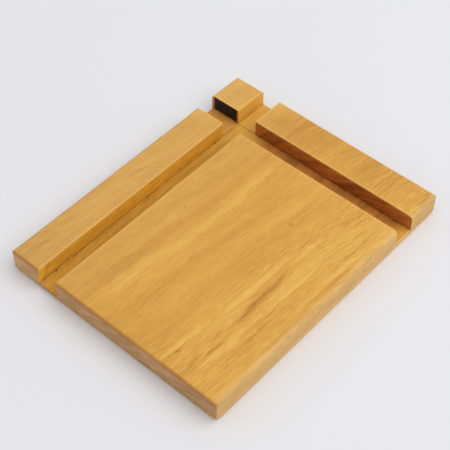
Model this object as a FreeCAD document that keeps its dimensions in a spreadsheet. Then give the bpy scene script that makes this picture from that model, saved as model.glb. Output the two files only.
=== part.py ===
import FreeCAD, Part
import os
import Sketcher

# A small hardwood board: a thin base with a centre panel, a side rail, an end rail and a corner
# block glued on top of it. The gaps between them are two open grooves that cross near one corner.
# X runs along the grain, Z is up, and the origin is under the middle of the board. Millimetres.

doc = FreeCAD.newDocument("grooved_board")

# ---------------------------------------------------------------- driving dimensions
dimensions = {
    "boardLength": 250.0,        # along the grain
    "boardWidth": 200.0,
    "baseThickness": 5.8,
    "raisedHeight": 14.2,        # panel, rails and block above the base
    "panelLength": 200.0,
    "panelWidth": 153.5,
    "longGrooveWidth": 18.0,     # runs along X, between the panel and the side rail
    "crossGrooveWidth": 18.5,    # runs along Y, between the panel and the end rail
    "grooveRelief": 0.5,         # how much lower the floor is, all but between end rail and block
    "nearRound": 3.5,            # the panel's top edges along the -X and -Y sides
    "farRound": 4.0,             # the outer top edges of both rails and the block
    "cornerRound": 1.5,          # upright corners, all but the square one at -X, -Y
    "undersideRound": 2.0,
    "padThickness": 1.2,
    "padMarginInner": 1.8,       # wood left beside the pad, on the groove's side
    "padMarginOuter": 2.6,       # wood left beside the pad, on the board's outer side
    "padMarginTop": 0.7,         # wood left above the pad
}
sheet = doc.addObject("Spreadsheet::Sheet", "Dims")
for row, (alias, value) in enumerate(dimensions.items(), start=1):
    sheet.set(f"A{row}", alias)
    sheet.set(f"B{row}", str(value))
    sheet.setAlias(f"B{row}", alias)
doc.recompute()

# Derived sizes, written once and used by every sub-part's expressions.
length = "Dims.boardLength"
width = "Dims.boardWidth"
railWidth = "(Dims.boardWidth - Dims.panelWidth - Dims.longGrooveWidth)"
endLength = "(Dims.boardLength - Dims.panelLength - Dims.crossGrooveWidth)"
frontEnd = "(-Dims.boardLength / 2)"
nearSide = "(-Dims.boardWidth / 2)"
railSide = "(Dims.panelWidth + Dims.longGrooveWidth - Dims.boardWidth / 2)"
endStart = "(Dims.panelLength + Dims.crossGrooveWidth - Dims.boardLength / 2)"


def newBody(label, x, y, z):
    """An empty body whose own origin is at the expressions x, y, z."""
    body = doc.addObject("PartDesign::Body", label)
    body.Label = label
    body.setExpression("Placement.Base.x", x)
    body.setExpression("Placement.Base.y", y)
    body.setExpression("Placement.Base.z", z)
    return body


def originPlane(body, role):
    return next(feature for feature in body.Origin.OriginFeatures if feature.Role == role)


def rectangleSketch(body, name, plane, spans):
    """A rectangle on one of the body's origin planes. spans holds its low corner and its size,
    as the expressions (across, up, width, height)."""
    sketch = body.newObject("Sketcher::SketchObject", name)
    sketch.AttachmentSupport = (originPlane(body, plane), [""])
    sketch.MapMode = "FlatFace"
    corners = [FreeCAD.Vector(1, 1, 0), FreeCAD.Vector(9, 1, 0),
               FreeCAD.Vector(9, 9, 0), FreeCAD.Vector(1, 9, 0)]
    for index in range(4):
        sketch.addGeometry(Part.LineSegment(corners[index], corners[(index + 1) % 4]), False)
    for index in range(4):
        sketch.addConstraint(Sketcher.Constraint("Coincident", index, 2, (index + 1) % 4, 1))
    for side, direction in enumerate(("Horizontal", "Vertical", "Horizontal", "Vertical")):
        sketch.addConstraint(Sketcher.Constraint(direction, side))
    across, up, wide, high = spans
    for kind, first, second, name, expression in (
        ("DistanceX", (-1, 1), (0, 1), "across", across),
        ("DistanceY", (-1, 1), (0, 1), "up", up),
        ("DistanceX", (0, 1), (0, 2), "wide", wide),
        ("DistanceY", (1, 1), (1, 2), "high", high),
    ):
        number = sketch.addConstraint(Sketcher.Constraint(kind, *first, *second, 5.0))
        sketch.renameConstraint(number, name)
        sketch.setExpression(f"Constraints.{name}", expression)
    doc.recompute()
    return sketch


def addPad(body, sketch, height):
    pad = body.newObject("PartDesign::Pad", body.Label + "_block")
    pad.Profile = sketch
    pad.setExpression("Length", height)
    sketch.Visibility = False
    doc.recompute()
    return pad


def addPocket(body, sketch, name, depth, towards):
    """Cuts the sketch into the body by depth, along the direction towards, and checks that it cut."""
    before = body.Shape.Volume
    pocket = body.newObject("PartDesign::Pocket", name)
    pocket.Profile = sketch
    pocket.setExpression("Length", depth)
    pocket.UseCustomVector = True
    pocket.Direction = towards
    doc.recompute()
    if body.Shape.Volume > before - 1.0:
        raise RuntimeError(f"{name} cut nothing from {body.Label}")
    return pocket


def edgeNames(shape, **limits):
    """Names of the straight edges that lie on every given plane, such as x=0 and z=15."""
    found = []
    for number, edge in enumerate(shape.Edges, start=1):
        points = [vertex.Point for vertex in edge.Vertexes]
        if all(abs(getattr(point, axis) - value) < 1e-4
               for axis, value in limits.items() for point in points):
            found.append(f"Edge{number}")
    return found


def addRound(body, name, radius, planes):
    """Rounds the edges of the body's tip that lie on each set of planes in the list."""
    tip = body.Tip
    local = tip.Shape.copy()
    local.Placement = FreeCAD.Placement()
    names = sorted({edge for limits in planes for edge in edgeNames(local, **limits)})
    if not names:
        raise RuntimeError(f"{name} found no edge on {body.Label}")
    fillet = body.newObject("PartDesign::Fillet", name)
    fillet.Base = (tip, names)
    fillet.setExpression("Radius", radius)
    doc.recompute()
    return fillet


size = {alias: float(sheet.get(alias)) for alias in dimensions}
tall = size["raisedHeight"]
endSize = size["boardLength"] - size["panelLength"] - size["crossGrooveWidth"]
railSize = size["boardWidth"] - size["panelWidth"] - size["longGrooveWidth"]

# ---------------------------------------------------------------- base board
base = newBody("base_board", frontEnd, nearSide, "0 mm")
addPad(base, rectangleSketch(base, "base_outline", "XY_Plane", ("0 mm", "0 mm", length, width)),
       "Dims.baseThickness")
addRound(base, "base_corners", "Dims.cornerRound",
         [{"x": size["boardLength"], "y": 0}, {"x": size["boardLength"], "y": size["boardWidth"]},
          {"x": 0, "y": size["boardWidth"]}])
addRound(base, "base_underside", "Dims.undersideRound", [{"z": 0}])
floorLevel = "Dims.baseThickness - Dims.grooveRelief"
crossFloor = rectangleSketch(base, "cross_floor_outline", "XZ_Plane",
                             ("Dims.panelLength", floorLevel,
                              "Dims.crossGrooveWidth", "Dims.grooveRelief"))
addPocket(base, crossFloor, "cross_groove_floor", width, FreeCAD.Vector(0, 1, 0))
longFloor = rectangleSketch(base, "long_floor_outline", "YZ_Plane",
                            ("Dims.panelWidth", floorLevel,
                             "Dims.longGrooveWidth", "Dims.grooveRelief"))
addPocket(base, longFloor, "long_groove_floor", "Dims.panelLength + Dims.crossGrooveWidth / 2",
          FreeCAD.Vector(1, 0, 0))

# ---------------------------------------------------------------- centre panel
panel = newBody("centre_panel", frontEnd, nearSide, "Dims.baseThickness")
addPad(panel, rectangleSketch(panel, "panel_outline", "XY_Plane",
                              ("0 mm", "0 mm", "Dims.panelLength", "Dims.panelWidth")),
       "Dims.raisedHeight")
addRound(panel, "panel_top_edges", "Dims.nearRound", [{"x": 0, "z": tall}, {"y": 0, "z": tall}])

# ---------------------------------------------------------------- side rail
rail = newBody("side_rail", frontEnd, railSide, "Dims.baseThickness")
addPad(rail, rectangleSketch(rail, "rail_outline", "XY_Plane",
                             ("0 mm", "0 mm", "Dims.panelLength", railWidth)),
       "Dims.raisedHeight")
addRound(rail, "rail_corner", "Dims.cornerRound", [{"x": 0, "y": railSize}])
addRound(rail, "rail_top_edges", "Dims.farRound", [{"x": 0, "z": tall}, {"y": railSize, "z": tall}])

# ---------------------------------------------------------------- end rail
endRail = newBody("end_rail", endStart, nearSide, "Dims.baseThickness")
addPad(endRail, rectangleSketch(endRail, "end_rail_outline", "XY_Plane",
                                ("0 mm", "0 mm", endLength, "Dims.panelWidth")),
       "Dims.raisedHeight")
addRound(endRail, "end_rail_corner", "Dims.cornerRound", [{"x": endSize, "y": 0}])
addRound(endRail, "end_rail_top_edges", "Dims.farRound",
         [{"x": endSize, "z": tall}, {"y": 0, "z": tall}])

# ---------------------------------------------------------------- corner block
block = newBody("corner_block", endStart, railSide, "Dims.baseThickness")
addPad(block, rectangleSketch(block, "block_outline", "XY_Plane",
                              ("0 mm", "0 mm", endLength, railWidth)),
       "Dims.raisedHeight")
addRound(block, "block_corner", "Dims.cornerRound", [{"x": endSize, "y": railSize}])
addRound(block, "block_top_edges", "Dims.farRound",
         [{"x": endSize, "z": tall}, {"y": railSize, "z": tall}])
padWidth = railWidth + " - Dims.padMarginInner - Dims.padMarginOuter"
padHeight = "Dims.raisedHeight - Dims.padMarginTop"
recess = rectangleSketch(block, "recess_outline", "YZ_Plane",
                         ("Dims.padMarginInner", "0 mm", padWidth, padHeight))
addPocket(block, recess, "pad_recess", "Dims.padThickness", FreeCAD.Vector(1, 0, 0))

# ---------------------------------------------------------------- pad let into the block
padPlace = railSide + " + Dims.padMarginInner"
facePad = newBody("face_pad", endStart, padPlace, "Dims.baseThickness")
addPad(facePad, rectangleSketch(facePad, "face_pad_outline", "XY_Plane",
                                ("0 mm", "0 mm", "Dims.padThickness", padWidth)),
       padHeight)

# ---------------------------------------------------------------- checks and export
doc.recompute()
for item in doc.Objects:
    if "Invalid" in item.State or "Error" in item.State:
        raise RuntimeError(f"{item.Label} did not compute: {item.State}")

os.makedirs("parts", exist_ok=True)
for body in (base, panel, rail, endRail, block, facePad):
    shape = body.Shape
    if shape.isNull() or not shape.isValid() or len(shape.Solids) != 1:
        raise RuntimeError(f"{body.Label} is not one valid solid")
    shape.exportStep(os.path.join("parts", body.Label + ".step"))
    box = shape.BoundBox
    print(f"{body.Label}: {box.XLength:.2f} x {box.YLength:.2f} x {box.ZLength:.2f} mm, "
          f"{shape.Volume:.0f} mm3")
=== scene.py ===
import math

import bmesh
import bpy
import numpy as np
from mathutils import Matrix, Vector, noise


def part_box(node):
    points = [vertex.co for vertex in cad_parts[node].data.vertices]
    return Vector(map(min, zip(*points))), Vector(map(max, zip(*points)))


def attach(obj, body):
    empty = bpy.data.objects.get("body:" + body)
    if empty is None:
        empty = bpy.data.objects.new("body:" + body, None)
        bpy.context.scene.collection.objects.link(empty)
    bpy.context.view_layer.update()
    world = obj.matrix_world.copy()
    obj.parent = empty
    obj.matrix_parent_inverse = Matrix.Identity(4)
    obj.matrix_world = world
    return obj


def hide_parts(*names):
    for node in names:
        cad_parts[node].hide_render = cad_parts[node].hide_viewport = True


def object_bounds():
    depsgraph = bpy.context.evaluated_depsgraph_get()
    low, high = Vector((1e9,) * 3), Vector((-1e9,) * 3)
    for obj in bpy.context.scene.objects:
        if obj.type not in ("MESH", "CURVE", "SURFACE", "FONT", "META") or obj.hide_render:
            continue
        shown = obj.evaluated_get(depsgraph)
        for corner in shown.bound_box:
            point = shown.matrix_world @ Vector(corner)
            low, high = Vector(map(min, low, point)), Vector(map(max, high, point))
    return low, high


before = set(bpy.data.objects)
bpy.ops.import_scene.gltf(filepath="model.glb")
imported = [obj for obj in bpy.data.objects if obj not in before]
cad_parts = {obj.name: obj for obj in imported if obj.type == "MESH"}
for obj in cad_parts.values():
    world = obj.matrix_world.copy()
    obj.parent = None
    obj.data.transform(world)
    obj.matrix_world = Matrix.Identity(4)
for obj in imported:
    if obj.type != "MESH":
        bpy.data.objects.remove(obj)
cadLow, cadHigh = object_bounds()
scene = bpy.context.scene
mm = 0.001                   # the frame is in metres; most sizes here are in millimetres
print("frame loaded:", sorted(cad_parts))

view = {
    "azimuth": -48.520,      # degrees, 0 looks along +Y
    "elevation": 49.205,
    "distance": 0.90985,     # metres from the point that it aims at
    "aim": (0.00221, 0.00521, 0.010),
    "lens": 97.277,
    "clipStart": 0.05,
}


def addCamera():
    azimuth, elevation = math.radians(view["azimuth"]), math.radians(view["elevation"])
    back = Vector((math.sin(azimuth) * math.cos(elevation),
                   -math.cos(azimuth) * math.cos(elevation),
                   math.sin(elevation)))
    camera = bpy.data.objects.new("boardCamera", bpy.data.cameras.new("boardCamera"))
    scene.collection.objects.link(camera)
    camera.location = Vector(view["aim"]) + back * view["distance"]
    camera.rotation_euler = (-back).to_track_quat("-Z", "Y").to_euler()
    camera.data.lens = view["lens"]
    camera.data.clip_start = view["clipStart"]
    scene.camera = camera


studio = {
    "skyStrength": 0.70,
    "skyColour": (1.0, 1.0, 1.02),
    "keyPower": 44.5,                # watts
    "keySize": 3.0,                  # metres, wide enough for soft shadows
    "keyDistance": 3.0,
    "keyFrom": (0.42, -0.72, 1.25),  # the direction that it shines from
    "tableSize": 16.0,
    "tableDrop": 0.0001,             # how far the table lies below the underside
    "tableColour": (0.80, 0.80, 0.81),
    "tableRoughness": 0.9,
    "tableGloss": 0.1,
}


def addStudio():
    scene.view_settings.view_transform = "Standard"
    world = bpy.data.worlds.new("studioSky")
    world.use_nodes = True
    sky = world.node_tree.nodes["Background"]
    sky.inputs["Color"].default_value = (*studio["skyColour"], 1)
    sky.inputs["Strength"].default_value = studio["skyStrength"]
    scene.world = world

    key = bpy.data.objects.new("keyLight", bpy.data.lights.new("keyLight", "AREA"))
    key.data.energy = studio["keyPower"]
    key.data.size = studio["keySize"]
    key.location = Vector(studio["keyFrom"]).normalized() * studio["keyDistance"]
    key.rotation_euler = (-key.location).to_track_quat("-Z", "Y").to_euler()
    scene.collection.objects.link(key)

    half = studio["tableSize"] / 2
    sheet = bpy.data.meshes.new("paleTable")
    sheet.from_pydata([(-half, -half, 0), (half, -half, 0), (half, half, 0), (-half, half, 0)],
                      [], [(0, 1, 2, 3)])
    table = bpy.data.objects.new("paleTable", sheet)
    table.location.z = cadLow.z - studio["tableDrop"]
    paper = bpy.data.materials.new("palePaper")
    paper.use_nodes = True
    shader = paper.node_tree.nodes["Principled BSDF"]
    shader.inputs["Base Color"].default_value = (*studio["tableColour"], 1)
    shader.inputs["Roughness"].default_value = studio["tableRoughness"]
    shader.inputs["Specular IOR Level"].default_value = studio["tableGloss"]
    sheet.materials.append(paper)
    scene.collection.objects.link(table)


addCamera()
addStudio()
print("camera, light and table ready")


def addNode(tree, kind, inputs=None, **settings):
    node = tree.nodes.new(kind)
    for key, value in settings.items():
        setattr(node, key, value)
    for key, value in (inputs or {}).items():
        if isinstance(value, bpy.types.NodeSocket):
            tree.links.new(value, node.inputs[key])
        else:
            node.inputs[key].default_value = value
    return node


def calc(tree, operation, first, second=0.0, third=0.0):
    node = addNode(tree, "ShaderNodeMath", {0: first, 1: second, 2: third}, operation=operation)
    return node.outputs[0]


def fade(tree, value, start, end, low=0.0, high=1.0):
    node = addNode(tree, "ShaderNodeMapRange",
                   {"Value": value, "From Min": start, "From Max": end,
                    "To Min": low, "To Max": high}, interpolation_type="SMOOTHSTEP")
    return node.outputs["Result"]


def mixColour(tree, factor, first, second):
    node = addNode(tree, "ShaderNodeMix", {0: factor, 6: first, 7: second}, data_type="RGBA")
    return node.outputs[2]


def shade(colour, factor):
    # the same colour, darker or lighter
    return (*(factor * part for part in colour[:3]), 1)


def placeInMm(tree):
    # the point on the board in millimetres, from the middle of its underside
    coords = addNode(tree, "ShaderNodeTexCoord").outputs["Object"]
    return addNode(tree, "ShaderNodeMapping",
                   {"Vector": coords, "Scale": (1 / mm, 1 / mm, 1 / mm)}).outputs[0]


def noiseAt(tree, place, sizes, detail=3.0, roughness=0.55, shift=0.0):
    # one noise whose lumps are about sizes long, in the units of place, and centred on zero
    spot = addNode(tree, "ShaderNodeMapping",
                   {"Vector": place, "Location": (shift, shift * 0.37, shift * 0.71),
                    "Scale": tuple(1.0 / size for size in sizes)})
    node = addNode(tree, "ShaderNodeTexNoise",
                   {"Vector": spot.outputs[0], "Scale": 1.0, "Detail": detail,
                    "Roughness": roughness})
    return calc(tree, "SUBTRACT", node.outputs["Fac"], 0.5)


def attribute(tree, name):
    return addNode(tree, "ShaderNodeAttribute", attribute_name=name).outputs["Fac"]


# Marks in the raised wood, in millimetres from the middle of the board: where, how far they reach
# along and across the grain, turned by how many degrees, and how much lighter (+) or darker (-).
woodMarks = [
    {"at": (-78.0, 18.5), "size": (52.0, 7.0), "turn": -5.5, "tone": 0.19},     # pale curved band
    {"at": (-22.0, 10.5), "size": (56.0, 7.0), "turn": -4.5, "tone": 0.34},
    {"at": (36.0, 10.0), "size": (50.0, 6.5), "turn": 2.0, "tone": 0.32},
    {"at": (-70.0, 29.0), "size": (60.0, 7.0), "turn": -6.0, "tone": -0.12},
    {"at": (10.0, 20.0), "size": (70.0, 6.0), "turn": -4.0, "tone": -0.14},
    {"at": (-42.0, -64.5), "size": (28.0, 6.2), "turn": 1.0, "tone": -0.58},    # brown flame
    {"at": (-22.0, -64.0), "size": (38.0, 5.0), "turn": 1.5, "tone": -0.40},
    {"at": (-60.0, -66.0), "size": (18.0, 3.2), "turn": -2.0, "tone": -0.45},
    {"at": (-28.0, -55.0), "size": (52.0, 4.2), "turn": -3.0, "tone": 0.55},    # yellow above it
    {"at": (14.0, -61.5), "size": (24.0, 3.4), "turn": -4.0, "tone": 0.50},
    {"at": (-102.0, -47.5), "size": (34.0, 3.0), "turn": -3.0, "tone": 0.45},
    {"at": (-88.0, -72.0), "size": (44.0, 4.0), "turn": -2.0, "tone": 0.40},
    {"at": (-20.0, -74.5), "size": (62.0, 3.6), "turn": 0.0, "tone": 0.38},
    {"at": (-110.0, -50.5), "size": (18.0, 1.1), "turn": -2.0, "tone": -0.60},
    {"at": (-96.0, -68.5), "size": (20.0, 1.3), "turn": -4.0, "tone": -0.50},
    {"at": (-70.0, -82.0), "size": (34.0, 2.4), "turn": 1.0, "tone": -0.34},
    {"at": (36.0, -87.0), "size": (44.0, 1.5), "turn": -1.0, "tone": -0.50},
    {"at": (50.0, -80.0), "size": (30.0, 1.3), "turn": -3.0, "tone": -0.45},
    {"at": (62.0, -73.0), "size": (16.0, 1.6), "turn": -8.0, "tone": -0.45},
    {"at": (16.0, -93.5), "size": (60.0, 2.2), "turn": 0.0, "tone": -0.28},
    {"at": (10.0, -90.0), "size": (50.0, 1.6), "turn": 0.0, "tone": 0.30},
    {"at": (-11.0, 33.0), "size": (3.2, 1.1), "turn": -5.0, "tone": -2.6},      # small flecks
    {"at": (-87.0, 34.0), "size": (4.4, 1.1), "turn": -4.0, "tone": -2.4},
    {"at": (28.0, -35.8), "size": (2.2, 0.9), "turn": -3.0, "tone": -1.6},
    {"at": (-102.0, 86.5), "size": (12.0, 1.1), "turn": -4.0, "tone": -0.65},
    {"at": (-76.0, 88.5), "size": (12.0, 0.9), "turn": -4.0, "tone": -0.50},
    {"at": (-8.0, 86.0), "size": (18.0, 2.4), "turn": -9.0, "tone": -0.40},
    {"at": (112.0, -19.0), "size": (4.0, 1.0), "turn": -3.0, "tone": -0.8},
    {"at": (110.0, -96.8), "size": (14.0, 0.9), "turn": 0.0, "tone": -0.7},
    # painted highlight along the end rail's rounded -Y edge
    {"at": (104.0, -94.6), "size": (14.0, 1.6), "turn": 0.0, "tone": 0.5},
    {"at": (48.0, -95.8), "size": (28.0, 1.4), "turn": 0.0, "tone": 0.45},
    {"at": (40.0, -98.2), "size": (34.0, 0.8), "turn": 0.0, "tone": -0.5},
    {"at": (5.5, 92.0), "size": (0.35, 3.0), "turn": 4.0, "tone": 1.5},         # a white scratch
]
# Marks that show only on the walls of the grooves; the first two are painted shade and painted
# light near the rounded end of the side rail's wall.
wallMarks = [
    {"at": (-113.8, 71.5), "size": (2.4, 4.0), "turn": 0.0, "tone": -0.36},
    {"at": (-121.0, 71.5), "size": (8.0, 4.0), "turn": 0.0, "tone": 0.22},
    {"at": (93.5, 37.5), "size": (4.0, 1.3), "turn": 0.0, "tone": -1.6},
    {"at": (93.5, 50.5), "size": (4.0, 4.0), "turn": 0.0, "tone": 0.6},
]

# The wood's patterns: size along, across and up in mm, detail, roughness, and a shift of its own.
patterns = {
    "slow": ((130.0, 60.0, 60.0), 1.0, 0.55, 3.1),       # the grain's slow wandering
    "quick": ((30.0, 12.0, 12.0), 2.0, 0.55, 9.4),       # and a quicker one on top of it
    "broad": ((140.0, 16.0, 16.0), 2.0, 0.50, 7.9),
    "streaks": ((42.0, 1.25, 1.25), 3.0, 0.62, 1.7),
    "fibres": ((9.0, 0.90, 0.90), 3.0, 0.65, 5.3),
    "pores": ((4.5, 0.50, 0.50), 1.0, 0.50, 2.2),
    "cloud": ((12.0, 9.0, 9.0), 3.0, 0.60, 6.1),
    "bandPatches": ((9.0, 9.0, 9.0), 2.0, 0.55, 8.8),
    "blotches": ((5.0, 5.0, 5.0), 3.0, 0.65, 11.0),      # oil that soaked into cut end grain
    "dirtAndShade": ((5.0, 4.0, 4.0), 3.0, 0.55, 4.0),
}

topLook = {
    "name": "oiledTopWood",
    "shift": 0.0,
    "drift": 0.078,              # the grain climbs this much across the board per unit along it
    "slowWander": 22.0,          # how far the grain strays across the board, mm
    "quickWander": 4.0,
    "upWander": 9.0,
    "pith": (-150.0, -210.0),    # centre line of the growth rings, across and up, mm
    "ringWidth": 4.6,
    "ringDrift": 0.006,          # how fast the rings change along the board
    "shares": {"rings": 0.30, "broad": 0.75, "streaks": 0.80, "fibres": 1.00, "cloud": 0.20},
    "dark": (0.470, 0.200, 0.036, 1),
    "middle": (0.672, 0.345, 0.058, 1),
    "light": (0.800, 0.465, 0.098, 1),
    "poreDepth": 0.28,           # how much the pores darken the wood
    "endDark": (0.390, 0.198, 0.075, 1),
    "endLight": (0.630, 0.360, 0.156, 1),
    "bandColour": (0.430, 0.175, 0.030, 1),      # dark band on the edge between the top and the end grain
    "paleSheenColour": (0.618, 0.374, 0.130, 1),       # painted reflection of the pale table on the outer sides, and the paler far edge
    "sheenSide": 0.80,
    "paleFarEdge": 0.36,
    "cutSide": (0.790, 0.410, 0.040, 1),         # groove walls along the grain, and floors; lightened as painted light
    "cutPale": (0.760, 0.450, 0.085, 1),         # what they fade to beyond the cross groove
    "cutEnd": (0.450, 0.146, 0.022, 1),          # groove walls across the grain, partly painted shade
    "cutStreaks": 1.0,
    "highlightColour": (0.900, 0.540, 0.150, 1),     # painted highlight on sharp edges
    "highlightShare": 0.80,
    "dirtShadeColour": (0.120, 0.040, 0.008, 1),
    "roughness": 0.52,
    "gloss": 0.32,
    "ior": 1.45,
    "bumpStrength": 0.30,
    "bumpDepth": 0.00012,                        # metres
    "marks": woodMarks,
    "wallMarks": wallMarks,
}
baseLook = dict(
    topLook,
    name="oiledBaseWood",
    shift=37.0,
    drift=-0.03,
    pith=(60.0, 160.0),
    endDark=(0.372, 0.186, 0.055, 1),
    endLight=(0.590, 0.328, 0.108, 1),
    cutSide=(0.655, 0.340, 0.037, 1),
    cutStreaks=0.95,
    marks=[],
    wallMarks=[],
)


def markTones(tree, place, marks):
    total = None
    for mark in marks:
        wide, narrow = mark["size"]
        local = addNode(tree, "ShaderNodeMapping",
                        {"Vector": place, "Location": (*mark["at"], 0.0),
                         "Rotation": (0.0, 0.0, math.radians(mark["turn"])),
                         "Scale": (wide, narrow, 1.0e5)}, vector_type="TEXTURE")
        reach = addNode(tree, "ShaderNodeVectorMath", {0: local.outputs[0]},
                        operation="LENGTH").outputs["Value"]
        tone = fade(tree, reach, 0.0, 1.0, mark["tone"], 0.0)
        total = tone if total is None else calc(tree, "ADD", total, tone)
    return total


def woodPatterns(tree, look):
    # the point on the board and every pattern that the wood is mixed from, as sockets by name
    place = placeInMm(tree)
    along, across, up = addNode(tree, "ShaderNodeSeparateXYZ", {0: place}).outputs

    def pattern(name, where):
        sizes, detail, roughness, shift = patterns[name]
        return noiseAt(tree, where, sizes, detail, roughness, look["shift"] + shift)

    slow, quick = pattern("slow", place), pattern("quick", place)
    wander = calc(tree, "MULTIPLY_ADD", slow, look["slowWander"],
                  calc(tree, "MULTIPLY", quick, look["quickWander"]))
    lean = calc(tree, "MULTIPLY_ADD", along, look["drift"], wander)
    grainAcross = calc(tree, "ADD", across, lean)
    grainUp = calc(tree, "MULTIPLY_ADD", slow, look["upWander"], up)
    grainPlace = addNode(tree, "ShaderNodeCombineXYZ",
                         {0: along, 1: grainAcross, 2: grainUp}).outputs[0]

    # growth rings round the pith line
    fromPith = addNode(tree, "ShaderNodeCombineXYZ",
                       {0: 0.0, 1: calc(tree, "SUBTRACT", grainAcross, look["pith"][0]),
                        2: calc(tree, "SUBTRACT", grainUp, look["pith"][1])}).outputs[0]
    radius = addNode(tree, "ShaderNodeVectorMath", {0: fromPith}, operation="LENGTH")
    ringSpot = addNode(tree, "ShaderNodeCombineXYZ",
                       {0: calc(tree, "DIVIDE", radius.outputs["Value"], look["ringWidth"]),
                        1: calc(tree, "MULTIPLY", along, look["ringDrift"]),
                        2: look["shift"]}).outputs[0]

    wood = {"along": along, "across": across, "up": up, "quick": quick,
            "rings": noiseAt(tree, ringSpot, (1, 1, 1), 2.0, 0.5)}
    for name in ("broad", "streaks", "fibres", "pores"):
        wood[name] = pattern(name, grainPlace)
    for name in ("cloud", "bandPatches", "blotches", "dirtAndShade"):
        wood[name] = pattern(name, place)
    wood["pores"] = fade(tree, wood["pores"], 0.15, 0.25)
    return wood


def woodTone(tree, look, wood):
    # how light the wood is, from 0 dark to 1 light; the near part is the more strongly figured
    figure = fade(tree, wood["across"], -28.0, -60.0, 0.75, 1.45)
    tone = 0.5
    for name, share in look["shares"].items():
        part = wood[name]
        if name in ("streaks", "fibres"):
            part = calc(tree, "MULTIPLY", part, figure)
        tone = calc(tree, "MULTIPLY_ADD", part, share, tone)
    # painted light: the top grows a little lighter towards the +X end
    tone = calc(tree, "MULTIPLY_ADD", wood["along"], 0.0006, tone)
    diagonal = calc(tree, "ADD", wood["along"], wood["across"])
    for part, start, end, change in (
            (wood["across"], -20.0, -100.0, 0.17),       # painted light: lighter towards the near side
            (wood["along"], 82.0, 110.0, -0.20),         # darker over the end rail
            (diagonal, 140.0, 175.0, 0.30)):             # lighter at the corner block
        tone = calc(tree, "ADD", tone, fade(tree, part, start, end, 0.0, change))

    if look["marks"]:
        ragged = calc(tree, "MULTIPLY_ADD", wood["streaks"], 9.0, wood["across"])
        ragged = calc(tree, "MULTIPLY_ADD", wood["quick"], 4.0, ragged)
        markPlace = addNode(tree, "ShaderNodeCombineXYZ",
                            {0: wood["along"], 1: ragged, 2: 0.0}).outputs[0]
        wispy = fade(tree, wood["streaks"], -0.18, 0.14, 0.55, 1.25)
        tone = calc(tree, "MULTIPLY_ADD", markTones(tree, markPlace, look["marks"]), wispy, tone)
    if look["wallMarks"]:
        # these lean along the board as they go down the wall from its top, at 20 mm
        slant = calc(tree, "MULTIPLY_ADD", calc(tree, "SUBTRACT", 20.0, wood["up"]), 0.48,
                     wood["along"])
        wallPlace = addNode(tree, "ShaderNodeCombineXYZ",
                            {0: slant, 1: wood["across"], 2: 0.0}).outputs[0]
        tone = calc(tree, "MULTIPLY_ADD", markTones(tree, wallPlace, look["wallMarks"]),
                    attribute(tree, "cutFace"), tone)
    return tone


def outerColour(tree, look, wood, tone, endGrain):
    # the planed top, the dry sides and the dry end grain with its oil-dark edge
    ramp = addNode(tree, "ShaderNodeValToRGB", {"Fac": tone})
    stops = ramp.color_ramp.elements
    stops[0].position, stops[0].color = 0.0, look["dark"]
    stops[1].position, stops[1].color = 1.0, look["light"]
    stops.new(0.5).color = look["middle"]
    colour = mixColour(tree, calc(tree, "MULTIPLY", wood["pores"], look["poreDepth"]),
                       ramp.outputs["Color"], look["dark"])

    # painted reflection: the outer sides take a pale sheen of the table, and the far edge is a
    # little paler
    paleness = calc(tree, "MAXIMUM", calc(tree, "MULTIPLY", attribute(tree, "sheenSide"), look["sheenSide"]),
               fade(tree, wood["across"], 0.0, 100.0, 0.0, look["paleFarEdge"]))
    colour = mixColour(tree, paleness, colour, mixColour(tree, tone, shade(look["paleSheenColour"], 0.76),
                                                    shade(look["paleSheenColour"], 1.22)))

    # end grain is greyer, and paler towards the side rail
    paler = fade(tree, wood["across"], 50.0, 78.0, -0.10, 0.30)
    endTone = calc(tree, "MULTIPLY_ADD", wood["rings"], 1.4, calc(tree, "ADD", paler, 0.5))
    endTone = calc(tree, "MULTIPLY_ADD", wood["cloud"], 1.2, endTone)
    outer = mixColour(tree, endGrain, colour,
                      mixColour(tree, endTone, look["endDark"], look["endLight"]))
    band = calc(tree, "MULTIPLY", attribute(tree, "edgeBand"),
                fade(tree, wood["bandPatches"], -0.3, 0.2, 0.50, 1.00))
    return mixColour(tree, band, outer, look["bandColour"])


def cutColour(tree, look, wood, tone, endGrain):
    # cut faces took more oil: orange along the grain, made lighter as painted light where the
    # grooves lie in shade; red brown and ringed across it, partly painted shade; floors in painted
    # shadow take the red brown too
    sideTone = calc(tree, "MULTIPLY_ADD", wood["streaks"], look["cutStreaks"], tone)
    cutSide = mixColour(tree, sideTone, shade(look["cutSide"], 0.62), shade(look["cutSide"], 1.22))
    cutSide = mixColour(tree, fade(tree, wood["along"], 70.0, 96.0, 0.0, 0.45), cutSide,
                        look["cutPale"])
    endTone = calc(tree, "MULTIPLY_ADD", wood["blotches"], 1.4,
                   calc(tree, "MULTIPLY_ADD", wood["rings"], 2.2, tone))
    cutEnd = mixColour(tree, endTone, shade(look["cutEnd"], 0.66), shade(look["cutEnd"], 1.30))
    return mixColour(tree, calc(tree, "MAXIMUM", endGrain, attribute(tree, "shadowedFloor")),
                     cutSide, cutEnd)


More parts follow.
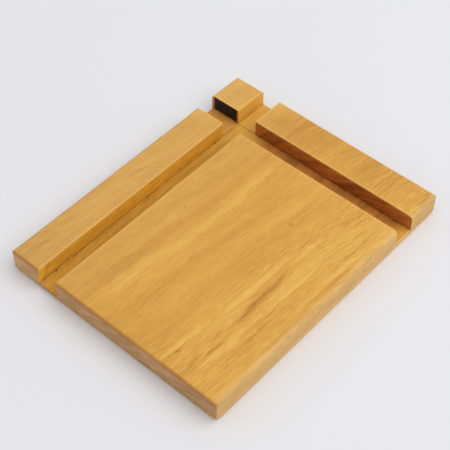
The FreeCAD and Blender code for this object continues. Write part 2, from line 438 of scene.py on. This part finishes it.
def woodMaterial(look):
    material = bpy.data.materials.new(look["name"])
    material.use_nodes = True
    tree = material.node_tree
    shader = tree.nodes["Principled BSDF"]
    wood = woodPatterns(tree, look)
    tone = woodTone(tree, look, wood)
    endGrain = attribute(tree, "endGrain")
    colour = mixColour(tree, attribute(tree, "cutFace"),
                       outerColour(tree, look, wood, tone, endGrain),
                       cutColour(tree, look, wood, tone, endGrain))
    # painted highlight on sharp edges
    colour = mixColour(tree, calc(tree, "MULTIPLY", attribute(tree, "edgeHighlight"), look["highlightShare"]),
                       colour, look["highlightColour"])
    # dirt and painted shade at the feet of walls
    dirtAndShade = calc(tree, "MULTIPLY", attribute(tree, "footDirtAndShade"),
                 fade(tree, wood["dirtAndShade"], -0.12, 0.18, 0.30, 0.95))
    colour = mixColour(tree, dirtAndShade, colour, look["dirtShadeColour"])
    tree.links.new(colour, shader.inputs["Base Color"])

    roughness = calc(tree, "MULTIPLY_ADD", wood["fibres"], 0.25, look["roughness"])
    roughness = calc(tree, "MULTIPLY_ADD", wood["pores"], 0.15, roughness)
    tree.links.new(roughness, shader.inputs["Roughness"])
    bump = addNode(tree, "ShaderNodeBump",
                   {"Height": calc(tree, "MULTIPLY_ADD", wood["pores"], -0.8, wood["fibres"]),
                    "Strength": look["bumpStrength"], "Distance": look["bumpDepth"]})
    tree.links.new(bump.outputs[0], shader.inputs["Normal"])
    shader.inputs["IOR"].default_value = look["ior"]
    shader.inputs["Specular IOR Level"].default_value = look["gloss"]
    return material


padLook = {
    "name": "blackPad",
    "dark": (0.003, 0.002, 0.002, 1),
    "light": (0.038, 0.021, 0.013, 1),
    "lump": 0.8,                 # mm
    "roughness": 0.72,
    "bumpDepth": 0.0002,         # metres
}
dropLook = {
    "name": "driedFinish",
    "dark": (0.050, 0.016, 0.004, 1),
    "light": (0.110, 0.036, 0.008, 1),
    "lump": 0.5,
    "roughness": 0.35,
    "bumpDepth": 0.00005,
}


def cloudedMaterial(look):
    # a rubbery or lacquery finish: two close colours, clouded, with a fine uneven surface
    material = bpy.data.materials.new(look["name"])
    material.use_nodes = True
    tree = material.node_tree
    shader = tree.nodes["Principled BSDF"]
    place = placeInMm(tree)
    lump, patch = look["lump"], look["lump"] * 7
    cells = noiseAt(tree, place, (lump, lump, lump), 3.0, 0.6)
    cloud = noiseAt(tree, place, (patch, patch, patch), 3.0, 0.6, 8.0)
    blend = calc(tree, "MULTIPLY_ADD", cells, 1.2, calc(tree, "MULTIPLY_ADD", cloud, 1.6, 0.4))
    tree.links.new(mixColour(tree, blend, look["dark"], look["light"]),
                   shader.inputs["Base Color"])
    tree.links.new(calc(tree, "MULTIPLY_ADD", cells, 0.3, look["roughness"]),
                   shader.inputs["Roughness"])
    bump = addNode(tree, "ShaderNodeBump",
                   {"Height": cells, "Strength": 0.6, "Distance": look["bumpDepth"]})
    tree.links.new(bump.outputs[0], shader.inputs["Normal"])
    shader.inputs["Specular IOR Level"].default_value = 0.25
    return material


topWood = woodMaterial(topLook)
baseWood = woodMaterial(baseLook)
blackPad = cloudedMaterial(padLook)
driedFinish = cloudedMaterial(dropLook)
print("materials ready")


def mmBox(node):
    return tuple(np.array(corner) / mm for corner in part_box(node))


panelHigh = mmBox("centre_panel")[1]
railLow = mmBox("side_rail")[0]
endLow = mmBox("end_rail")[0]

wobble = {                   # how unevenly the edges were rounded by hand
    "share": 0.10,
    "gain": 1.6,
    "patch": 26.0,           # mm
    "limits": (0.8, 1.2),
}
gridding = {                 # how finely the wooden pieces are divided, in mm
    "arcLines": 9,           # lines over each rounded edge
    "ballStep": 0.45,        # between the lines over a corner rounded underneath
    "ballMargin": 0.3,
    "clear": 0.4,            # between a rounded edge and the even lines
    "snap": 0.002,           # a line this near to the outline counts as on it
    "wallStep": 2.0,
}


def insideGrooves(spots):
    # how far each point lies inside the cross groove, and inside the long groove
    acrossIn = np.minimum(spots[:, 0] - panelHigh[0], endLow[0] - spots[:, 0])
    alongIn = np.minimum(spots[:, 1] - panelHigh[1], railLow[1] - spots[:, 1])
    return acrossIn, alongIn


def roundDrop(inward, radius):
    # how far a rounded edge lies below the flat face, at a distance inward from the side
    short = np.clip(radius - inward, 0.0, radius)
    return radius - np.sqrt(np.maximum(radius ** 2 - short ** 2, 0.0))


def edgeDistances(radii, ball):
    # where the grid's lines lie near one side, as distances in from it
    turn = np.linspace(0.0, math.pi / 2, gridding["arcLines"])
    places = [radius * (1 - np.cos(turn)) for radius in radii if radius > 0.0]
    places.append(np.arange(0.0, ball + gridding["ballMargin"], gridding["ballStep"]))
    return np.unique(np.round(np.concatenate(places), 3))


def gridLines(low, high, nearLow, nearHigh, step, extra):
    start = low + nearLow.max() + gridding["clear"]
    end = high - nearHigh.max() - gridding["clear"]
    count = max(2, int(round((end - start) / step)) + 1)
    lines = np.concatenate([low + nearLow, np.linspace(start, end, count), high - nearHigh,
                            np.array(extra)])
    lines = np.unique(np.round(lines, 3))
    lines = lines[(lines > low - gridding["snap"]) & (lines < high + gridding["snap"])]
    lines[0], lines[-1] = low, high
    return lines


def cornerMap(spots, corner, inward, radius):
    # draws the grid in around one upright corner, so that its outline follows an arc
    size = 2.0 * radius
    near = (spots - corner) * inward
    inside = (near[:, 0] < size) & (near[:, 1] < size)
    ray = near[inside] - size
    reach = np.maximum(-ray[:, 0], -ray[:, 1])
    ray = ray / np.maximum(reach, 1e-9)[:, None] * size
    toCentre = np.array([radius, radius])
    a = (ray ** 2).sum(1)
    b = 2 * (ray @ toCentre)
    c = (toCentre ** 2).sum() - radius ** 2
    hit = (-b + np.sqrt(np.maximum(b * b - 4 * a * c, 0.0))) / (2 * a)
    hitPoint = size + ray * hit[:, None]
    onArc = (hitPoint[:, 0] < radius) & (hitPoint[:, 1] < radius)
    share = np.where(onArc, np.minimum(hit, 1.0), 1.0)
    near[inside] = size + (near[inside] - size) * share[:, None]
    spots[:] = corner + near * inward


def edgeWobble(spots, seed):
    return np.array([noise.noise(Vector((x / wobble["patch"], y / wobble["patch"], seed)))
                     for x, y in spots]) * wobble["gain"]


def slabMesh(slab, extraX=(), extraY=(), topDrop=None):
    low, high = mmBox(slab["node"])
    rounds = np.array(slab["rounds"])
    under, balls = slab.get("under", 0.0), slab.get("balls", (0.0,) * 4)
    eased = slab.get("eased", 0.0)
    near = [edgeDistances((radius, under, eased), max(balls)) for radius in rounds]
    xs = gridLines(low[0], high[0], near[0], near[1], slab["step"], extraX)
    ys = gridLines(low[1], high[1], near[2], near[3], slab["step"], extraY)
    nx, ny = len(xs), len(ys)
    gx, gy = np.meshgrid(xs, ys, indexing="ij")
    spots = np.stack([gx.ravel(), gy.ravel()], 1)
    corners = ((low[0], low[1]), (high[0], low[1]), (high[0], high[1]), (low[0], high[1]))
    inwards = ((1, 1), (-1, 1), (-1, -1), (1, -1))
    for corner, inward, radius in zip(corners, inwards, slab["uprights"]):
        cornerMap(spots, np.array(corner), np.array(inward), radius)

    # distances in from the four sides; where two rounds meet, they blend into one soft corner
    sides = np.stack([spots[:, 0] - low[0], high[0] - spots[:, 0],
                      spots[:, 1] - low[1], high[1] - spots[:, 1]], 1).clip(0.0)
    uneven = 1 + wobble["share"] * edgeWobble(spots, slab["seed"])
    radii = rounds[None, :] * np.clip(uneven, *wobble["limits"])[:, None]
    drop = (roundDrop(sides, radii) ** 3).sum(1) ** (1 / 3)
    if topDrop is not None:
        drop = drop + topDrop(spots, sides)
    lift = np.zeros(len(spots))
    if under:
        inward = sides.min(1)
        for (a, b), ball in zip(((0, 2), (1, 2), (1, 3), (0, 3)), balls):
            corner = (sides[:, a] < ball) & (sides[:, b] < ball)
            arc = ball - np.hypot(ball - sides[:, a], ball - sides[:, b])
            inward = np.where(corner, np.minimum(inward, arc), inward)
        lift = roundDrop(np.maximum(inward, 0.0), under) + np.clip(-inward, 0.0, 2.0)

    # the top, the underside and rings of points between them, which make the walls
    top = np.column_stack([spots, high[2] - drop])
    bottom = np.column_stack([spots, low[2] + lift])
    layer = nx * ny
    number = np.arange(layer).reshape(nx, ny)
    outline = np.concatenate([number[:, 0], number[-1, 1:], number[-2::-1, -1],
                              number[0, -2:0:-1]])
    tall = top[outline, 2] - bottom[outline, 2]
    evenRings = max(3, int(tall.max() / gridding["wallStep"]))
    shares = [0.03, 0.08, 0.16] + list(np.linspace(0.25, 1.0, evenRings))[:-1]
    walls = [np.column_stack([spots[outline], bottom[outline, 2] + tall * share])
             for share in shares]
    points = np.concatenate([top, bottom, *walls])

    faces = []
    for i in range(nx - 1):
        for j in range(ny - 1):
            a, b, c, d = number[i, j], number[i + 1, j], number[i + 1, j + 1], number[i, j + 1]
            faces.append((a, b, c, d))
            faces.append((a + layer, d + layer, c + layer, b + layer))
    count = len(outline)
    rings = [outline + layer]
    rings += [2 * layer + count * k + np.arange(count) for k in range(len(walls))]
    rings += [outline]
    for lower, upper in zip(rings[:-1], rings[1:]):
        for k in range(count):
            n = (k + 1) % count
            faces.append((lower[k], lower[n], upper[n], upper[k]))
    mesh = bpy.data.meshes.new(slab["node"])
    mesh.from_pydata([tuple(p) for p in points * mm], [],
                     [tuple(int(v) for v in face) for face in faces])
    mesh.validate()
    mesh.update()
    return mesh


wearAndLight = {                     # how far the marks of making and use, and the painted highlights, shadow and shade, reach, in mm
    "onPlane": 0.02,         # a point this near to a plane counts as on it
    "sharpBelow": 1.0,       # an edge with a smaller radius counts as sharp
    "arrisIn": 0.55,         # painted highlight on sharp edges, in from the wall
    "arrisDown": 0.60,       # and down it
    "crispIn": 0.6,          # where a sharp top edge keeps the top's own colour
    "crispDown": 0.3,
    "bandDown": 1.3,         # the dark edge below the rounded left end
    "footUp": 0.6,           # dirt and painted shade on a groove's wall, up from its floor
    "footOut": 0.8,          # and on the floor, out from the wall
    "stepOut": 0.30,         # and painted shade at the small step across the long groove
    "floorRim": (0.6, 0.5),  # painted highlight rim where a floor meets the open end: how far in, how wide
    "floorAbove": 4.4,       # the floors lie above this height
    "floorClear": 0.9,       # and this far in from the outline
    "floorCut": 0.85,        # how fully they take the colour of a cut face
    "baseBandAbove": 2.6,    # the dark edge at a groove's open left end starts at this height
    "outerSkin": 1.0,        # the base's outer sides, in from the outline
    "nearShadow": (52.0, 36.0),     # painted shadow: the cross groove's floor turns red-brown between these, across
    "nearShadowEnd": (-99.0, -85.0),
    "farShadow": (66.0, 76.0),      # and again beside the block, in its painted shadow
}


def setPointLayer(mesh, name, values):
    layer = mesh.attributes.new(name, "FLOAT", "POINT")
    layer.data.foreach_set("value", np.clip(values, 0, 1).astype(np.float32))


def bell(distance, width):
    return np.exp(-(distance / width) ** 2)


def rise(value, start, end):
    # 0 before start and 1 past end, straight in between
    return np.clip((value - start) / (end - start), 0, 1)


def pointValues(collection, key):
    values = np.empty(len(collection) * 3, np.float32)
    collection.foreach_get(key, values)
    return values.reshape(-1, 3).astype(float)


def baseMarksAndLight(mesh, points, normals, sides):
    # the floors of the grooves are cut faces, with painted shadow that turns the cross groove's
    # floor red-brown; the outer sides get a painted pale reflection
    acrossIn, alongIn = insideGrooves(points)
    inGroove = np.maximum(acrossIn, alongIn) > -wearAndLight["onPlane"]
    onFloor = inGroove & (points[:, 2] > wearAndLight["floorAbove"])
    onFloor &= sides.min(1) > wearAndLight["floorClear"]
    setPointLayer(mesh, "cutFace", onFloor * wearAndLight["floorCut"])
    rimIn, rimWide = wearAndLight["floorRim"]
    # painted highlight on the eased rim of each groove's floor
    setPointLayer(mesh, "edgeHighlight", 0.15 * bell(sides.min(1) - rimIn, rimWide)
            * inGroove * (normals[:, 2] > 0.3))
    setPointLayer(mesh, "edgeBand", 0.8 * inGroove * (sides[:, 0] < wearAndLight["outerSkin"])
            * (points[:, 2] > wearAndLight["baseBandAbove"]))
    # painted shadow of the end rail and the block on the cross groove's floor
    atNearEnd = np.maximum(rise(points[:, 1], *wearAndLight["nearShadowEnd"]), 0.25)
    nearShadow = 0.9 * rise(points[:, 1], *wearAndLight["nearShadow"]) * atNearEnd
    farShadow = 0.5 * rise(points[:, 1], *wearAndLight["farShadow"])
    setPointLayer(mesh, "shadowedFloor", np.maximum(nearShadow, farShadow) * onFloor
            * (acrossIn > -wearAndLight["onPlane"]))
    # painted reflection: a pale sheen on the base's outer sides
    setPointLayer(mesh, "sheenSide", (np.minimum(sides[:, 2], sides[:, 3]) < wearAndLight["outerSkin"])
            * rise(np.abs(normals[:, 1]), 0.1, 0.5))
    # dirt and painted shade at the walls' feet; the step's riser is painted shade
    railFoot = 0.6 * bell(railLow[1] - points[:, 1], wearAndLight["footOut"])
    endFoot = 1.2 * bell(endLow[0] - points[:, 0], wearAndLight["footOut"]) * (alongIn < 0)
    atStep = 0.4 * bell(points[:, 0] - endLow[0], wearAndLight["stepOut"]) * (alongIn > 0)
    setPointLayer(mesh, "footDirtAndShade", np.maximum(np.maximum(railFoot, endFoot) * 0.7, atStep) * onFloor)


def topMarksAndLight(mesh, slab, points, normals, sides, fromSharp):
    # walls below the sharp edges are cut faces; the rounded sides are outer ones
    low, high = mmBox(slab["node"])
    fromTop = high[2] - points[:, 2]
    rounds = slab["rounds"]
    rounded = [radius > wearAndLight["sharpBelow"] for radius in rounds]
    onCut = (fromSharp < wearAndLight["onPlane"]) & (fromTop > wearAndLight["crispDown"])
    setPointLayer(mesh, "cutFace", onCut * 1.0)
    # painted highlight along the sharp edges
    setPointLayer(mesh, "edgeHighlight", bell(fromSharp, wearAndLight["arrisIn"]) * bell(fromTop, wearAndLight["arrisDown"]))
    band = bell(fromTop - wearAndLight["bandDown"], wearAndLight["bandDown"]) * (fromTop > 0.08)
    setPointLayer(mesh, "edgeBand", band * (sides[:, 0] < rounds[0]) * rounded[0])
    # painted reflection: a pale sheen on the rounded outer sides
    outerSide = ((sides[:, 2] < rounds[2]) & rounded[2]) | ((sides[:, 3] < rounds[3]) & rounded[3])
    setPointLayer(mesh, "sheenSide", outerSide * rise(np.abs(normals[:, 1]), 0.15, 0.55))
    # dirt and painted shade at the foot of each cut wall
    atFoot = bell(points[:, 2] - low[2], wearAndLight["footUp"]) * onCut
    setPointLayer(mesh, "footDirtAndShade", slab.get("wallFootDirtShade", 0.0) * atFoot)


def addMarksAndLight(mesh, slab):
    # point attributes that the wood reads: end grain, cut faces, painted highlights on sharp
    # arrises, and dirt with painted shade at the feet
    low, high = mmBox(slab["node"])
    points = pointValues(mesh.vertices, "co") / mm
    normals = pointValues(mesh.vertex_normals, "vector")
    sides = np.stack([points[:, 0] - low[0], high[0] - points[:, 0],
                      points[:, 1] - low[1], high[1] - points[:, 1]], 1)
    fromTop = high[2] - points[:, 2]
    sharp = np.array(slab["rounds"]) < wearAndLight["sharpBelow"]
    fromSharp = np.where(sharp[None, :], sides, 1e3).min(1)

    # end grain shows where a face looks along the board, and over the whole of each end
    facesEnd = np.abs(normals[:, 0])
    onEnd = (np.minimum(sides[:, 0], sides[:, 1]) < 0.05) & (fromTop > 0.2)
    endGrain = np.maximum(rise(facesEnd, 0.62, 0.92), onEnd * (facesEnd > 0.5))
    if slab["wood"] == "top":
        endGrain *= ~((fromSharp < wearAndLight["crispIn"]) & (fromTop <= wearAndLight["crispDown"]))
    setPointLayer(mesh, "endGrain", endGrain)
    if slab["wood"] == "base":
        baseMarksAndLight(mesh, points, normals, sides)
    else:
        topMarksAndLight(mesh, slab, points, normals, sides, fromSharp)


def addPiece(name, mesh, material, node=None):
    mesh.materials.clear()
    mesh.materials.append(material)
    piece = bpy.data.objects.new(name, mesh)
    scene.collection.objects.link(piece)
    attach(piece, "root")
    if node:
        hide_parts(node)
    print("made", name, len(mesh.vertices), "points")


def smoothFaces(mesh, sharpAbove):
    # smooth shading, but an edge that turns by more than sharpAbove degrees stays sharp
    mesh.shade_smooth()
    mesh.set_sharp_from_angle(angle=math.radians(sharpAbove))


def addSlab(slab, mesh):
    addMarksAndLight(mesh, slab)
    smoothFaces(mesh, 38)
    wood, slot = (baseWood, "base_wood") if slab["wood"] == "base" else (topWood, "top_wood")
    addPiece(slab["node"] + "_wood", mesh, wood, slab["node"])


# Every wooden piece is a slab with its own edges, in mm: rounds are the radii along the top edges
# at its -X, +X, -Y and +Y sides, uprights those of its corners (-X -Y, +X -Y, +X +Y, -X +Y), step
# is the spacing of its grid, and seed sets how its rounding varies.
baseBoard = {
    "node": "base_board",
    "wood": "base",
    "rounds": (0.05, 0.05, 0.05, 0.05),
    "uprights": (0.8, 1.8, 1.2, 2.5),
    "under": 2.2,                        # the edge round the underside
    "balls": (4.8, 5.8, 4.0, 6.2),       # the corners underneath, sanded round
    "eased": 1.2,                        # the edge of each groove's floor at its open ends
    "relief": 0.5,                       # how much lower the floors are than the base's top
    "slope": 0.08,                       # how wide the step down to them is
    "step": 2.5,
    "seed": 37.0,
}


def floorDrop(spots, sides):
    acrossIn, alongIn = insideGrooves(spots)
    lowered = np.maximum(acrossIn, np.minimum(alongIn, endLow[0] - spots[:, 0]))
    drop = baseBoard["relief"] * np.clip(lowered / baseBoard["slope"], 0, 1)
    atMouth = np.clip(np.maximum(acrossIn, alongIn) / baseBoard["slope"], 0, 1)
    return drop + atMouth * roundDrop(sides.min(1), baseBoard["eased"])


def besideLines(*places):
    # grid lines close to both sides of each wall's foot
    gaps = (0.0, baseBoard["slope"], 0.35, 0.8, 1.5)
    return [place + side * gap for place in places for side in (-1, 1) for gap in gaps]


addSlab(baseBoard, slabMesh(baseBoard, besideLines(panelHigh[0], endLow[0]),
                            besideLines(panelHigh[1], railLow[1]), floorDrop))

centrePanel = {
    "node": "centre_panel",
    "wood": "top",
    "rounds": (2.4, 0.35, 4.4, 0.35),
    "uprights": (0.8, 0.4, 0.4, 0.4),
    "step": 2.5,
    "seed": 44.4,
}
addSlab(centrePanel, slabMesh(centrePanel))

sideRail = {
    "node": "side_rail",
    "wood": "top",
    "rounds": (2.3, 0.35, 0.35, 4.0),
    "uprights": (0.4, 0.4, 0.4, 2.5),
    "wallFootDirtShade": 0.5,                         # how dark the foot of its groove wall is, with dirt and painted shade
    "step": 2.0,
    "seed": 33.3,
}
addSlab(sideRail, slabMesh(sideRail))

endRail = {
    "node": "end_rail",
    "wood": "top",
    "rounds": (0.35, 4.0, 4.4, 0.35),
    "uprights": (0.4, 1.8, 0.4, 0.4),
    "wallFootDirtShade": 0.9,
    "step": 2.0,
    "seed": 29.6,
}
addSlab(endRail, slabMesh(endRail))

cornerBlock = {
    "node": "corner_block",
    "wood": "top",
    "rounds": (0.35, 4.0, 0.35, 4.0),
    "uprights": (0.4, 0.4, 1.2, 0.4),
    "wallFootDirtShade": 0.9,
    "step": 1.5,
    "seed": 44.4,
    "bedMargin": 1.0,                    # how far the cutter for the pad's bed stands out
}


def withRecess(mesh, low, high):
    # cuts the shallow bed that the black pad lies in, open to the face and to the base
    margin = cornerBlock["bedMargin"] * mm
    start = Vector(low) - Vector((margin, 0.0, 0.0)) - Vector((0.0, 0.0, margin))
    bed = bmesh.new()
    bmesh.ops.create_cube(bed, size=1.0)
    for vert in bed.verts:
        vert.co = Vector(start[k] + (vert.co[k] + 0.5) * (high[k] - start[k]) for k in range(3))
    cutterMesh = bpy.data.meshes.new("padBed")
    bed.to_mesh(cutterMesh)
    bed.free()
    cutter = bpy.data.objects.new("padBed", cutterMesh)
    holder = bpy.data.objects.new("blockHolder", mesh)
    for item in (cutter, holder):
        scene.collection.objects.link(item)
    cut = holder.modifiers.new("padBed", "BOOLEAN")
    cut.operation = "DIFFERENCE"
    cut.solver = "EXACT"
    cut.object = cutter
    depsgraph = bpy.context.evaluated_depsgraph_get()
    result = bpy.data.meshes.new_from_object(holder.evaluated_get(depsgraph), depsgraph=depsgraph)
    for item in (cutter, holder):
        bpy.data.objects.remove(item)
    return result


addSlab(cornerBlock, withRecess(slabMesh(cornerBlock), *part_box("face_pad")))


def newTree(name, inputs):
    # an empty Geometry Nodes tree with named inputs and one geometry output
    tree = bpy.data.node_groups.new(name, "GeometryNodeTree")
    tree.interface.new_socket("Geometry", in_out="OUTPUT", socket_type="NodeSocketGeometry")
    for title, kind in inputs.items():
        tree.interface.new_socket(title, in_out="INPUT", socket_type="NodeSocket" + kind)
    source = tree.nodes.new("NodeGroupInput").outputs
    return tree, source


def endTree(tree, geometry, material):
    real = addNode(tree, "GeometryNodeRealizeInstances", {"Geometry": geometry})
    painted = addNode(tree, "GeometryNodeSetMaterial",
                      {"Geometry": real.outputs[0], "Material": material})
    addNode(tree, "NodeGroupOutput", {0: painted.outputs[0]})


def runTree(tree, values):
    # the tree's result as a plain mesh, with its inputs set by their identifiers
    holder = bpy.data.objects.new(tree.name, bpy.data.meshes.new(tree.name))
    scene.collection.objects.link(holder)
    nodes = holder.modifiers.new(tree.name, "NODES")
    nodes.node_group = tree
    for item in tree.interface.items_tree:
        if item.in_out == "INPUT":
            nodes[item.identifier] = values[item.name]
    depsgraph = bpy.context.evaluated_depsgraph_get()
    mesh = bpy.data.meshes.new_from_object(holder.evaluated_get(depsgraph), depsgraph=depsgraph)
    bpy.data.objects.remove(holder)
    return mesh


padShape = {
    "Relief": 0.14 * mm,         # how deep the pebbling of its face is
    "Pebble": 0.9 * mm,
    "Edge Round": 0.5 * mm,
    "Seed": 3.0,
}
padGrid = {"Vertices X": 3, "Vertices Y": 70, "Vertices Z": 40}


def padTree():
    # a block whose -X face is pebbled and eased at its edges, always inwards
    tree, source = newTree("pebbledPad", {"Size": "Vector", "Centre": "Vector", "Relief": "Float",
                                          "Pebble": "Float", "Edge Round": "Float",
                                          "Seed": "Float"})
    cube = addNode(tree, "GeometryNodeMeshCube", dict(padGrid, Size=source["Size"]))
    position = addNode(tree, "GeometryNodeInputPosition").outputs[0]
    x, y, z = addNode(tree, "ShaderNodeSeparateXYZ", {0: position}).outputs
    sizeX, sizeY, sizeZ = addNode(tree, "ShaderNodeSeparateXYZ", {0: source["Size"]}).outputs
    scaled = addNode(tree, "ShaderNodeVectorMath",
                     {0: position, 3: calc(tree, "DIVIDE", 1.0, source["Pebble"])},
                     operation="SCALE").outputs[0]
    pebbles = addNode(tree, "ShaderNodeTexNoise",
                      {"Vector": scaled, "W": source["Seed"], "Scale": 1.0, "Detail": 2.0},
                      noise_dimensions="4D").outputs["Fac"]
    fromSide = calc(tree, "SUBTRACT", calc(tree, "MULTIPLY", sizeY, 0.5),
                    calc(tree, "ABSOLUTE", y))
    fromRim = calc(tree, "SUBTRACT", calc(tree, "MULTIPLY", sizeZ, 0.5),
                   calc(tree, "ABSOLUTE", z))
    # only the front face moves: in by the pebbling, and further in towards its edges
    nearest = calc(tree, "MINIMUM", fromSide, fromRim)
    ease = calc(tree, "SUBTRACT", 1.0, calc(tree, "DIVIDE", nearest, source["Edge Round"]))
    ease = calc(tree, "POWER", calc(tree, "MAXIMUM", ease, 0.0), 2.0)
    depth = calc(tree, "MULTIPLY_ADD", ease, calc(tree, "MULTIPLY", source["Edge Round"], 0.7),
                 calc(tree, "MULTIPLY", pebbles, source["Relief"]))
    front = calc(tree, "LESS_THAN", x, calc(tree, "MULTIPLY", sizeX, -0.4))
    push = addNode(tree, "ShaderNodeCombineXYZ", {0: calc(tree, "MULTIPLY", depth, front)})
    offset = addNode(tree, "ShaderNodeVectorMath", {0: push.outputs[0], 1: source["Centre"]},
                     operation="ADD")
    moved = addNode(tree, "GeometryNodeSetPosition",
                    {"Geometry": cube.outputs["Mesh"], "Offset": offset.outputs[0]})
    endTree(tree, moved.outputs[0], blackPad)
    return tree


padLow, padHigh = (Vector(corner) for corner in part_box("face_pad"))
padMesh = runTree(padTree(), dict(padShape, Size=padHigh - padLow, Centre=(padLow + padHigh) / 2))
smoothFaces(padMesh, 50)
addPiece("face_pad_rubber", padMesh, blackPad, "face_pad")

# Drops of dried finish along the foot of the side rail's wall: from, to, how many, how large (mm).
finishDrops = [
    {"from": -109.5, "to": -104.5, "count": 2, "size": 0.80, "seed": 4},
    {"from": 33.0, "to": 60.0, "count": 9, "size": 0.36, "seed": 11},
    {"from": 58.0, "to": 71.0, "count": 9, "size": 0.46, "seed": 23},
    {"from": -60.0, "to": 30.0, "count": 9, "size": 0.24, "seed": 31},
]
dropPlace = {"out": 0.25, "spread": 0.5}     # out from the wall, and how far they stray, mm


def dropTree():
    # small flattened beads scattered along a line, with their sizes and turns varied
    tree, source = newTree("dropsAlongFoot", {"Start": "Vector", "End": "Vector", "Count": "Int",
                                              "Drop Size": "Float", "Spread": "Float",
                                              "Seed": "Int"})
    line = addNode(tree, "GeometryNodeMeshLine", {"Count": source["Count"],
                                                  "Start Location": source["Start"],
                                                  "Offset": source["End"]}, mode="END_POINTS")
    # they stray further along the wall than out from it or up
    spread = source["Spread"]
    reach = addNode(tree, "ShaderNodeCombineXYZ",
                    {0: calc(tree, "MULTIPLY", spread, 3.0), 1: 0.0,
                     2: calc(tree, "MULTIPLY", spread, 0.5)}).outputs[0]
    back = addNode(tree, "ShaderNodeCombineXYZ",
                   {0: calc(tree, "MULTIPLY", spread, -3.0), 1: calc(tree, "MULTIPLY", spread, -1),
                    2: 0.0}).outputs[0]
    shake = addNode(tree, "FunctionNodeRandomValue",
                    {"Min": back, "Max": reach, "Seed": source["Seed"]}, data_type="FLOAT_VECTOR")
    moved = addNode(tree, "GeometryNodeSetPosition",
                    {"Geometry": line.outputs[0], "Offset": shake.outputs[0]})
    bead = addNode(tree, "GeometryNodeMeshIcoSphere",
                   {"Radius": source["Drop Size"], "Subdivisions": 2})
    size = addNode(tree, "FunctionNodeRandomValue",
                   {"Min": (0.7, 0.5, 0.30), "Max": (1.5, 1.0, 0.55), "Seed": source["Seed"]},
                   data_type="FLOAT_VECTOR")
    beads = addNode(tree, "GeometryNodeInstanceOnPoints",
                    {"Points": moved.outputs[0], "Instance": bead.outputs[0],
                     "Scale": size.outputs[0]})
    smooth = addNode(tree, "GeometryNodeSetShadeSmooth", {"Geometry": beads.outputs[0]})
    endTree(tree, smooth.outputs[0], driedFinish)
    return tree


beadTree = dropTree()
allDrops = bmesh.new()
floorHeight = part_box("base_board")[1][2] - baseBoard["relief"] * mm
lineY = railLow[1] * mm - dropPlace["out"] * mm
for drops in finishDrops:
    part = runTree(beadTree, {
        "Start": Vector((drops["from"] * mm, lineY, floorHeight)),
        "End": Vector((drops["to"] * mm, lineY, floorHeight)),
        "Count": drops["count"], "Drop Size": drops["size"] * mm,
        "Spread": dropPlace["spread"] * mm, "Seed": drops["seed"]})
    allDrops.from_mesh(part)
    bpy.data.meshes.remove(part)
dropMesh = bpy.data.meshes.new("finish_drops")
allDrops.to_mesh(dropMesh)
allDrops.free()
addPiece("finish_drops", dropMesh, driedFinish)
